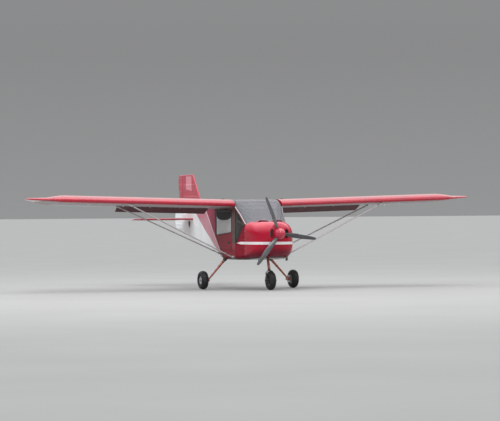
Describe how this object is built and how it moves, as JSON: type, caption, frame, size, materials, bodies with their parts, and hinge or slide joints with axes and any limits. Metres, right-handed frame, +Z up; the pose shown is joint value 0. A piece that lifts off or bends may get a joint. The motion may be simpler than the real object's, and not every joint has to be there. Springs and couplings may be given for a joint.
{
  "type": "ultralight aircraft",
  "caption": "High-wing, strut-braced two-seat ultralight aircraft on tricycle gear, with turning propeller and wheels, doors, flaps and control surfaces.",
  "frame": {"origin": "on the ground, under the middle of the aircraft's overall box", "axes": "+X towards the nose, +Y towards the left wing tip, +Z up"},
  "size_m": [6.51, 10.06, 2.4799],
  "materials": {
    "belly_grey": "matt",
    "steel_tube": "painted tube",
    "fitting": "plated",
    "post_paint": "dark red-brown",
    "red_skin": "glossy painted panel",
    "red_fabric": "doped, painted fabric",
    "engine_alloy": "cast",
    "exhaust_steel": "heat-stained",
    "aluminium_sheet": "satin",
    "strut_paint": "painted pale",
    "panel_black": "matt",
    "clear_acrylic": "clear",
    "wheel_rim": "satin",
    "tyre": "matt",
    "fabric_skin": "doped, painted fabric",
    "red_composite": "glossy gel coat",
    "leg_paint": "red-brown paint",
    "blade": "satin composite",
    "bulkhead_cloth": "woven",
    "seat_cloth": "woven"
  },
  "bodies": {
    "airframe": {"cabin_floor": "belly_grey", "control_stick": "steel_tube", "door_hinges": "fitting", "door_posts": "post_paint", "door_sills": "red_skin", "engine_block": "engine_alloy", "exhaust_pipe": "exhaust_steel", "fin": "red_fabric", "firewall": "aluminium_sheet", "forward_sides": "red_skin", "frame_cross_tubes": "steel_tube", "front_struts": "strut_paint", "instrument_panel": "panel_black", "left_cabin_frame": "steel_tube", "left_wing": "fabric_skin", "lower_cowl": "red_composite", "main_gear_legs": "leg_paint", "nose_leg_bracket": "fitting", "quarter_windows": "clear_acrylic", "rear_bulkhead": "bulkhead_cloth", "rear_fuselage": "fabric_skin", "rear_side_panels": "red_fabric", "rear_struts": "strut_paint", "right_cabin_frame": "steel_tube", "right_wing": "fabric_skin", "roof_panel": "red_skin", "roof_window": "clear_acrylic", "rudder_pedals": "aluminium_sheet", "seat_backs": "seat_cloth", "seat_cushions": "seat_cloth", "seat_frames": "steel_tube", "stabilizer": "red_fabric", "tie_down_rings": "fitting", "upper_cowl": "red_composite", "windshield": "clear_acrylic", "wing_tips": "red_composite"},
    "propeller_assembly": {"spinner": "red_composite", "propeller": "blade"},
    "left_main_wheel": {"left_main_tyre": "tyre", "left_main_hub": "wheel_rim"},
    "right_main_wheel": {"right_main_tyre": "tyre", "right_main_hub": "wheel_rim"},
    "nose_strut": {"nose_leg": "leg_paint"},
    "nose_wheel": {"nose_tyre": "tyre", "nose_hub": "wheel_rim"},
    "rudder_surface": {"rudder": "red_fabric"},
    "elevator_surface": {"elevator": "red_fabric"},
    "left_aileron_surface": {"left_aileron": "red_fabric"},
    "right_aileron_surface": {"right_aileron": "red_fabric"},
    "left_flap_surface": {"left_flap": "red_fabric"},
    "right_flap_surface": {"right_flap": "red_fabric"},
    "left_door_leaf": {"left_door": "red_skin", "left_door_window": "clear_acrylic"},
    "right_door_leaf": {"right_door": "red_skin", "right_door_window": "clear_acrylic"}
  },
  "joints": [
    {"name": "propeller_spin", "type": "hinge", "parent": "airframe", "child": "propeller_assembly", "pos_m": [3.135, 0, 1.18], "axis": [1, 0, 0], "continuous": true},
    {"name": "left_wheel_spin", "type": "hinge", "parent": "airframe", "child": "left_main_wheel", "pos_m": [1.32, 1.03, 0.195], "axis": [0, 1, 0], "continuous": true},
    {"name": "right_wheel_spin", "type": "hinge", "parent": "airframe", "child": "right_main_wheel", "pos_m": [1.32, -1.03, 0.195], "axis": [0, 1, 0], "continuous": true},
    {"name": "nose_steer", "type": "hinge", "parent": "airframe", "child": "nose_strut", "pos_m": [2.442, 0, 0.68], "axis": [-0.2981, 0, 0.9545], "range_deg": [-25, 25]},
    {"name": "nose_wheel_spin", "type": "hinge", "parent": "nose_strut", "child": "nose_wheel", "pos_m": [2.605, 0, 0.195], "axis": [0, 1, 0], "continuous": true},
    {"name": "rudder_hinge", "type": "hinge", "parent": "airframe", "child": "rudder_surface", "pos_m": [-2.755, 0, 1.86], "axis": [0, 0, 1], "range_deg": [-25, 25]},
    {"name": "elevator_hinge", "type": "hinge", "parent": "airframe", "child": "elevator_surface", "pos_m": [-2.355, 0, 1.482], "axis": [0, 1, 0], "range_deg": [-17, 28]},
    {"name": "left_aileron_hinge", "type": "hinge", "parent": "airframe", "child": "left_aileron_surface", "pos_m": [0.93892, 3.5, 1.82508], "axis": [0, 0.9996, 0.0281], "range_deg": [-20, 20]},
    {"name": "right_aileron_hinge", "type": "hinge", "parent": "airframe", "child": "right_aileron_surface", "pos_m": [0.93892, -3.5, 1.82508], "axis": [0, 0.9996, -0.0281], "range_deg": [-20, 20]},
    {"name": "left_flap_hinge", "type": "hinge", "parent": "airframe", "child": "left_flap_surface", "pos_m": [0.93892, 1.765, 1.77631], "axis": [0, 0.9996, 0.0281], "range_deg": [-11, 22]},
    {"name": "right_flap_hinge", "type": "hinge", "parent": "airframe", "child": "right_flap_surface", "pos_m": [0.93892, -1.765, 1.77631], "axis": [0, 0.9996, -0.0281], "range_deg": [-11, 22]},
    {"name": "left_door_hinge", "type": "hinge", "parent": "airframe", "child": "left_door_leaf", "pos_m": [1.28, 0.54, 1.694], "axis": [1, 0, 0], "range_deg": [0, 58]},
    {"name": "right_door_hinge", "type": "hinge", "parent": "airframe", "child": "right_door_leaf", "pos_m": [1.28, -0.54, 1.694], "axis": [-1, 0, 0], "range_deg": [0, 58]}
  ],
  "couplings": [
    {"joint": "rudder_hinge", "follows": "nose_steer", "ratio": -1},
    {"joint": "right_aileron_hinge", "follows": "left_aileron_hinge", "ratio": -1},
    {"joint": "right_flap_hinge", "follows": "left_flap_hinge", "ratio": 1}
  ]
}
